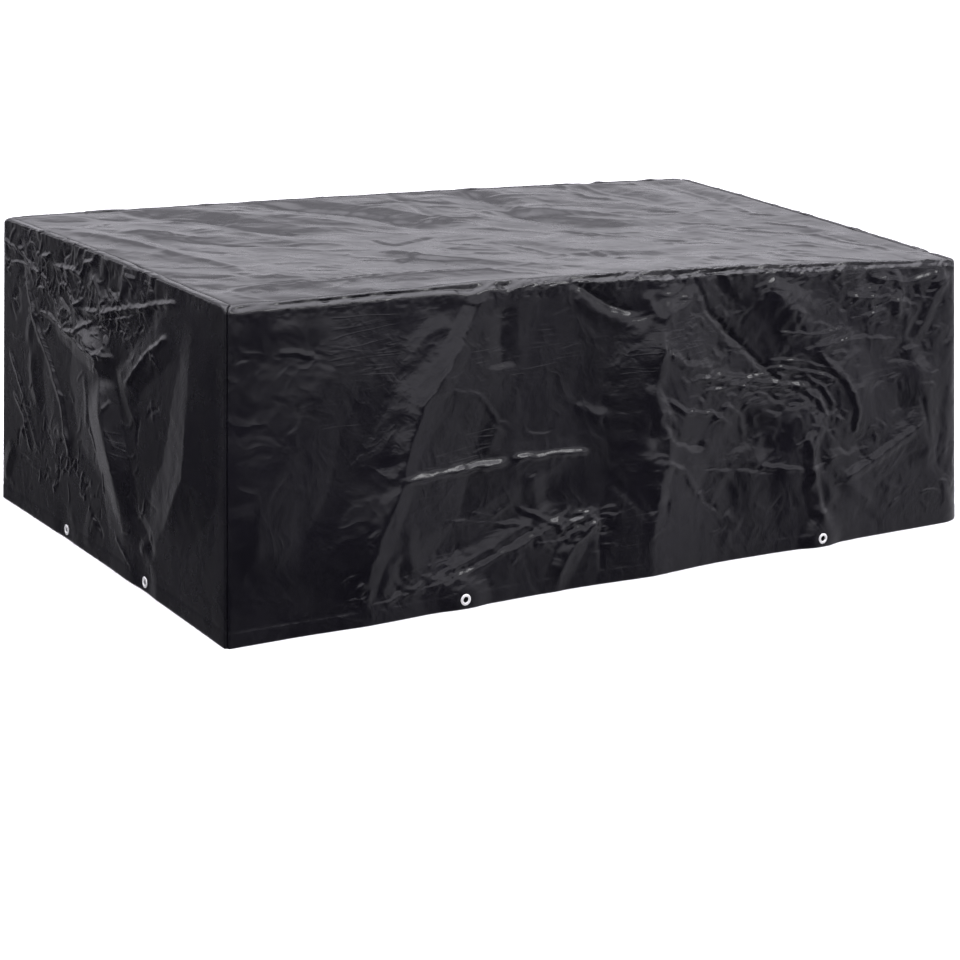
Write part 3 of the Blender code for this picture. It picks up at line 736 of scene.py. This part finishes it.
def make_mesh(name, points, keep, material):
    """A grid mesh from rows and columns of points, without the cells in holes."""
    rows, columns = points.shape[:2]
    index = np.arange(rows * columns).reshape(rows, columns)
    quads = np.stack([index[:-1, :-1], index[:-1, 1:], index[1:, 1:], index[1:, :-1]], -1).reshape(-1, 4)
    quads = quads[keep.reshape(-1)]
    mesh = bpy.data.meshes.new(name)
    mesh.vertices.add(rows * columns)
    mesh.vertices.foreach_set("co", points.reshape(-1).astype(np.float32))
    mesh.loops.add(quads.size)
    mesh.loops.foreach_set("vertex_index", quads.reshape(-1).astype(np.int32))
    mesh.polygons.add(len(quads))
    mesh.polygons.foreach_set("loop_start", np.arange(0, quads.size, 4, dtype=np.int32))
    mesh.update(calc_edges=True)
    mesh.validate()
    return finished(mesh, material)


def make_side(side, material):
    """One wall as a piece, with its hem turned in and the holes cut for its eyelets."""
    columns, rows = side_grid(side)
    station, level = np.meshgrid(columns, rows)
    point, out = wall_points(side, station, level)
    # turned in behind the hem, and tucked in at the three seams
    hem_rows = int(np.sum(rows < 0.0))
    inner = (point[:hem_rows] - out[:hem_rows] * HEM_LAYER)[::-1]
    tops = [point[-1] - UP * depth for depth in TUCKS]
    point = np.concatenate([inner, point, np.stack(tops)])
    out = np.concatenate([out[:hem_rows][::-1], out, out[-1:], out[-1:]])
    lefts = [point[:, :1] - out[:, :1] * depth for depth in TUCKS[::-1]]
    rights = [point[:, -1:] - out[:, -1:] * depth for depth in TUCKS]
    point = np.concatenate([*lefts, point, *rights], axis=1)
    middle = (point[:-1, :-1] + point[1:, 1:]) / 2.0
    keep = np.ones(middle.shape[:2], bool)
    for centre, normal in eyelets_of(side):
        offset = middle - centre
        along_axis = offset @ normal
        across = np.linalg.norm(offset - along_axis[..., None] * normal, axis=-1)
        keep &= (across > HOLE_CUT) | (np.abs(along_axis) > HOLE_DEPTH)
    return make_mesh(side + "_cloth", point, keep, material)


def make_lid(material):
    """The lid between the seams, sagging a little, with its edges tucked in."""
    seam = np.array(3.0 + SEAM_GAP / EDGE_FLAT)
    near_left, near_right, far_right, far_left = (corner_state(name, seam)[0] for name in CORNERS)
    fine = np.array([0.0, 0.0012, 0.0028, 0.0050, 0.0078])
    columns, rows = (
        np.concatenate([fine, np.linspace(0.011, size - 0.011, count), size - fine[::-1]]) / size
        for size, count in zip((LENGTH, WIDTH), LID_CELLS)
    )
    s, t = np.meshgrid(columns, rows)
    near = near_left + (near_right - near_left) * s[..., None]
    far = far_left + (far_right - far_left) * s[..., None]
    point = near + (far - near) * t[..., None]
    lengthwise, crosswise = np.sin(math.pi * s), np.sin(math.pi * t)
    crown = lengthwise * ((1.0 - t) * SIDES["front"][2] + t * SIDES["back"][2])
    crown += crosswise * ((1.0 - s) * SIDES["left"][2] + s * SIDES["right"][2])
    length = float(np.linalg.norm(near_right - near_left))
    width = float(np.linalg.norm(far_left - near_left))
    a, b = s * length, t * width
    edge = np.minimum(np.minimum(a, length - a), np.minimum(b, width - b))
    warp_a = a + 0.020 * wavering(a, b, 0.18, 401) + 0.006 * wavering(a, b, 0.05, 402)
    warp_b = b + 0.020 * wavering(a, b, 0.18, 403) + 0.006 * wavering(a, b, 0.05, 404)
    relief = fold_relief(MAIN_FOLDS["lid"], warp_a, warp_b) * smooth(0.0, LID_FADE, edge)
    corner = (length, width)
    creases = list(CREASES["lid"])
    for seed, count, *sizes, lean, spread in (
        (411, 44, (0.25, 0.65), (0.030, 0.075), (0.03, 0.07), 2.35, 0.35),
        (412, 200, (0.08, 0.30), (0.010, 0.024), (0.05, 0.12), 2.55, 0.45),
        (413, 260, (0.03, 0.12), (0.005, 0.009), (0.05, 0.13), 2.6, 0.7),
    ):
        creases += scattered(seed, count, (0.0, 0.0), corner, *sizes, lean, spread)
    relief += fold_relief(creases, warp_a, warp_b) * smooth(0.0, CREASE_FADE, edge)
    ripples = 0.0006 * ridged(a, b, 0.12, 421) + 0.0002 * ridged(a, b, 0.04, 425)
    relief += ripples * smooth(0.0, 0.020, edge)
    groove = np.zeros_like(a)
    for side, place, from_edge, along, whole in (
        ("front", point[..., 0], b, a, length),
        ("back", point[..., 0], width - b, a, length),
        ("left", point[..., 1], a, b, width),
        ("right", point[..., 1], length - a, b, width),
    ):
        corner_fade = smooth(0.0, CREASE_FADE, np.minimum(along, whole - along))
        relief += seam_wave(side, place) * np.exp(-((from_edge / SEAM_SPREAD) ** 2)) * corner_fade
        groove = np.maximum(groove, GROOVE_DEPTH * np.exp(-((from_edge / GROOVE_WIDTH) ** 2)))
    point[..., 2] += crown + relief - LID_SAG * lengthwise * crosswise - groove
    for depth in (TUCKS[0], TUCKS[1] - TUCKS[0]):
        down = UP * depth
        point = np.concatenate([point[:1] - down, point, point[-1:] - down])
        point = np.concatenate([point[:, :1] - down, point, point[:, -1:] - down], axis=1)
    keep = np.ones((point.shape[0] - 1, point.shape[1] - 1), bool)
    return make_mesh("lid_cloth", point, keep, material)


# ---- eyelets ----


def make_eyelet(name, material):
    """A pressed eyelet turned round its axis: a rolled flange outside, a flat washer inside."""
    centre, normal = (Vector(v) for v in EYELETS[name])
    # the ring's section in millimetres: out from the axis, and along it
    section_mm = (
        (8.6, -1.7), (7.9, -1.4), (7.5, -0.6), (7.5, 0.8), (7.7, 1.7), (8.3, 2.2), (9.2, 2.4),
        (10.8, 2.3), (12.6, 2), (14, 1.7), (14.8, 1.3), (15, 0.9), (14.7, 0.7), (12, 0.8), (9, 0.8),
        (8.7, 0), (9, -0.6), (12, -0.6), (14.4, -0.6), (14.9, -0.9), (14.8, -1.3), (13.8, -1.5),
        (11, -1.6),
    )
    section = [(r / 1000.0, z / 1000.0) for r, z in section_mm]
    turns = 56
    points, faces = [], []
    for step in range(turns):
        angle = 2.0 * math.pi * step / turns
        points += [(r * math.cos(angle), r * math.sin(angle), z) for r, z in section]
    count = len(section)
    for step in range(turns):
        for k in range(count):
            here, there = step * count, (step + 1) % turns * count
            after = (k + 1) % count
            faces.append((here + k, there + k, there + after, here + after))
    mesh = bpy.data.meshes.new(name + "_ring")
    mesh.from_pydata(points, [], faces)
    mesh.update()
    across = Vector((0.0, 0.0, 1.0)).cross(normal).normalized()
    turn = Matrix((across, normal.cross(across), normal)).transposed().to_4x4()
    mesh.transform(Matrix.Translation(centre) @ turn)
    return finished(mesh, material)


# ---- materials ----

# the next four each add one node to a tree and return its output


def math_node(tree, kind, a, b=None):
    node = tree.nodes.new("ShaderNodeMath")
    node.operation = kind
    for socket, value in ((node.inputs[0], a), (node.inputs[1], b)):
        if isinstance(value, (int, float)):
            socket.default_value = value
        elif value is not None:
            tree.links.new(value, socket)
    return node.outputs[0]


def map_range(tree, value, before, after=(0.0, 1.0), curve="LINEAR"):
    node = tree.nodes.new("ShaderNodeMapRange")
    node.interpolation_type = curve
    for name, number in zip(("From Min", "From Max", "To Min", "To Max"), (*before, *after)):
        node.inputs[name].default_value = number
    tree.links.new(value, node.inputs["Value"])
    return node.outputs["Result"]


def noise_node(tree, place, scale, detail, rough=0.5, distortion=0.0):
    node = tree.nodes.new("ShaderNodeTexNoise")
    settings = {"Scale": scale, "Detail": detail, "Roughness": rough, "Distortion": distortion}
    for name, number in settings.items():
        node.inputs[name].default_value = number
    tree.links.new(place, node.inputs["Vector"])
    return node.outputs["Fac"]


def tone_node(tree, value, positions, colours):
    node = tree.nodes.new("ShaderNodeValToRGB")
    for element, position, colour in zip(node.color_ramp.elements, positions, colours):
        element.position = position
        element.color = (*colour, 1.0)
    tree.links.new(value, node.inputs["Fac"])
    return node.outputs["Color"]


def new_material(name):
    """A material, its node tree and its shader."""
    material = bpy.data.materials.new(name)
    material.use_nodes = True
    return material, material.node_tree, material.node_tree.nodes["Principled BSDF"]


def cloth_material(name, axes, depths, score_height, gloss_range, turns=(0.05, 2.2)):
    """Dark laminated tape cloth: fine crumple and weave in its own plane, satin gloss."""
    first, second = axes
    coarse_depth, fine_depth = depths
    material, tree, shader = new_material(name)
    nodes, links = tree.nodes, tree.links
    shader.inputs["IOR"].default_value = 1.5
    where = nodes.new("ShaderNodeTexCoord")
    split = nodes.new("ShaderNodeSeparateXYZ")
    links.new(where.outputs["Object"], split.inputs[0])

    def joined(kind, a, b=None):
        return math_node(tree, kind, a, b)

    def noise(scale, detail, rough, distortion):
        return noise_node(tree, where.outputs["Object"], scale, detail, rough, distortion)

    def times(a, b):
        return joined("MULTIPLY", a, b)

    def stretched(along, across, turn):
        """The cloth's own two directions, turned and scaled."""
        cosine, sine = math.cos(turn), math.sin(turn)
        u, v = split.outputs[first], split.outputs[second]
        place = nodes.new("ShaderNodeCombineXYZ")
        shares = ((along * cosine, along * sine), (-across * sine, across * cosine))
        for index, (of_u, of_v) in enumerate(shares):
            part = joined("ADD", times(u, of_u), times(v, of_v))
            links.new(part, place.inputs[index])
        return place.outputs[0]

    def patches(scale, low, high):
        return map_range(tree, noise(scale, 2.0, 0.5, 0.3), (low, high), curve="SMOOTHSTEP")

    def scored(along, across, turn, height, mask):
        """Thin sharp creases that run one way, in patches."""
        value = noise_node(tree, stretched(along, across, turn), 1.0, 1.0, 0.5, 0.4)
        away = joined("ABSOLUTE", joined("SUBTRACT", value, 0.5))
        line = joined("MAXIMUM", joined("SUBTRACT", 1.0, times(away, 14.0)), 0.0)
        return times(times(line, height), mask)

    def crumpled(scale, depth, rough, distortion):
        away = joined("ABSOLUTE", joined("SUBTRACT", noise(scale, 2.0, rough, distortion), 0.5))
        return times(away, -depth)

    per_metre = 2.0 * math.pi / TAPE_PITCH
    warp = joined("SINE", times(split.outputs[first], per_metre))
    weft = joined("SINE", times(split.outputs[second], per_metre))
    height = times(times(warp, weft), WEAVE_DEPTH)
    for layer in (
        crumpled(12.0, coarse_depth, 0.5, 0.5),
        times(crumpled(34.0, fine_depth, 0.5, 0.8), patches(2.6, 0.36, 0.64)),
        scored(5.0, 42.0, turns[0], score_height, patches(5.0, 0.52, 0.64)),
        scored(6.0, 30.0, turns[1], score_height * 0.6, patches(3.6, 0.54, 0.68)),
    ):
        height = joined("ADD", height, layer)
    bump = nodes.new("ShaderNodeBump")
    bump.inputs["Strength"].default_value = 1.0
    bump.inputs["Distance"].default_value = 1.0
    links.new(height, bump.inputs["Height"])
    links.new(bump.outputs["Normal"], shader.inputs["Normal"])
    darks = ((0.0022, 0.0020, 0.0036), (0.0036, 0.0032, 0.0054))
    tone = tone_node(tree, noise(4.0, 4.0, 0.6, 0.4), (0.3, 0.7), darks)
    links.new(tone, shader.inputs["Base Color"])
    gloss = map_range(tree, noise(9.0, 4.0, 0.6, 0.3), (0.3, 0.7), gloss_range)
    links.new(gloss, shader.inputs["Roughness"])
    return material


def metal_material():
    """Bright pressed metal with a fine uneven finish."""
    material, tree, shader = new_material("eyelet_metal_finish")
    shader.inputs["Metallic"].default_value = 0.55
    where = tree.nodes.new("ShaderNodeTexCoord")
    noise = noise_node(tree, where.outputs["Object"], 220.0, 4.0)
    tone = tone_node(tree, noise, (0.0, 1.0), ((0.80, 0.80, 0.79), (0.93, 0.93, 0.92)))
    tree.links.new(tone, shader.inputs["Base Color"])
    tree.links.new(map_range(tree, noise, (0.0, 1.0), (0.22, 0.42)), shader.inputs["Roughness"])
    return material


# ---- the pieces ----

cloth_long = cloth_material("cloth_front_back", "XZ", (0.0036, 0.0012), 0.00026, (0.17, 0.27))
cloth_short = cloth_material("cloth_left_right", "YZ", (0.0015, 0.0013), 0.00024, (0.22, 0.32))
cloth_top = cloth_material("cloth_lid", "XY", (0.0024, 0.0007), 0.00014, (0.24, 0.33), (-0.30, -0.80))
metal = metal_material()

for side in SIDES:
    piece = make_side(side, cloth_long if side in ("front", "back") else cloth_short)
    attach(piece, "root")
    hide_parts(side + "_panel", "hem_" + side)

lid = make_lid(cloth_top)
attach(lid, "root")
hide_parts("top_panel")

for name in EYELETS:
    ring = make_eyelet(name, metal)
    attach(ring, "root")
    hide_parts(name)

# ---- floor, light and camera ----

floor_mesh = bpy.data.meshes.new("floor")
corners = [(x * FLOOR_REACH, y * FLOOR_REACH, -FLOOR_BELOW) for x, y in ((-1, -1), (1, -1), (1, 1), (-1, 1))]
floor_mesh.from_pydata(corners, [], [(0, 1, 2, 3)])
floor = placed(floor_mesh)
floor_look, _, floor_shader = new_material("floor_pale")
floor_shader.inputs["Base Color"].default_value = (0.93, 0.93, 0.93, 1.0)
floor_shader.inputs["Roughness"].default_value = 0.9
floor_mesh.materials.append(floor_look)
floor.visible_glossy = False
floor.visible_shadow = False

world = bpy.data.worlds.new("studio")
world.use_nodes = True
bpy.context.scene.world = world
studio = world.node_tree
where = studio.nodes.new("ShaderNodeTexCoord")
split = studio.nodes.new("ShaderNodeSeparateXYZ")
studio.links.new(where.outputs["Generated"], split.inputs[0])


def stepped(value, low, high, bottom, top):
    return map_range(studio, value, (low, high), (bottom, top), "SMOOTHSTEP")


# a pale backdrop on one side, a dark room on the other, and a bright ceiling over both
backdrop = studio.nodes.new("ShaderNodeVectorMath")
backdrop.operation = "DOT_PRODUCT"
backdrop.inputs[1].default_value = (0.906, 0.423, 0.0)
studio.links.new(where.outputs["Generated"], backdrop.inputs[0])
below = stepped(backdrop.outputs["Value"], -0.05, 0.40, 0.03, 0.50)
near_horizon = stepped(split.outputs["Z"], 0.12, 0.46, 1.12, 0.50)
overhead = stepped(split.outputs["Z"], 0.52, 0.90, 0.0, 3.4)
above = math_node(studio, "ADD", near_horizon, overhead)
is_above = stepped(split.outputs["Z"], -0.02, 0.04, 0.0, 1.0)
is_below = stepped(split.outputs["Z"], -0.02, 0.04, 1.0, 0.0)
low_half = math_node(studio, "MULTIPLY", below, is_below)
high_half = math_node(studio, "MULTIPLY", above, is_above)
strength = math_node(studio, "ADD", low_half, high_half)
background = studio.nodes["Background"]
studio.links.new(strength, background.inputs["Strength"])
background.inputs["Color"].default_value = (1.0, 0.98, 1.055, 1.0)

key_light = bpy.data.lights.new("key", "AREA")
key_light.shape = "RECTANGLE"
key_light.size = 3.2
key_light.size_y = 0.9
key_light.energy = 70.0
key = placed(key_light)
key.location = (2.3, -4.3, 3.6)
key.rotation_euler = (Vector((0.0, 0.0, 0.4)) - key.location).to_track_quat("-Z", "Y").to_euler()

camera_data = bpy.data.cameras.new("camera")
camera_data.lens = CAMERA_LENS
camera_data.sensor_width = 36.0
camera_data.clip_end = 1000.0
camera = placed(camera_data)
camera.location = CAMERA_PLACE
aim = (Vector(CAMERA_AIM) - Vector(CAMERA_PLACE)).to_track_quat("-Z", "Y").to_matrix()
camera.rotation_euler = (aim @ Matrix.Rotation(math.radians(CAMERA_ROLL), 3, "Z")).to_euler()
bpy.context.scene.camera = camera
bpy.context.scene.view_settings.view_transform = "Standard"
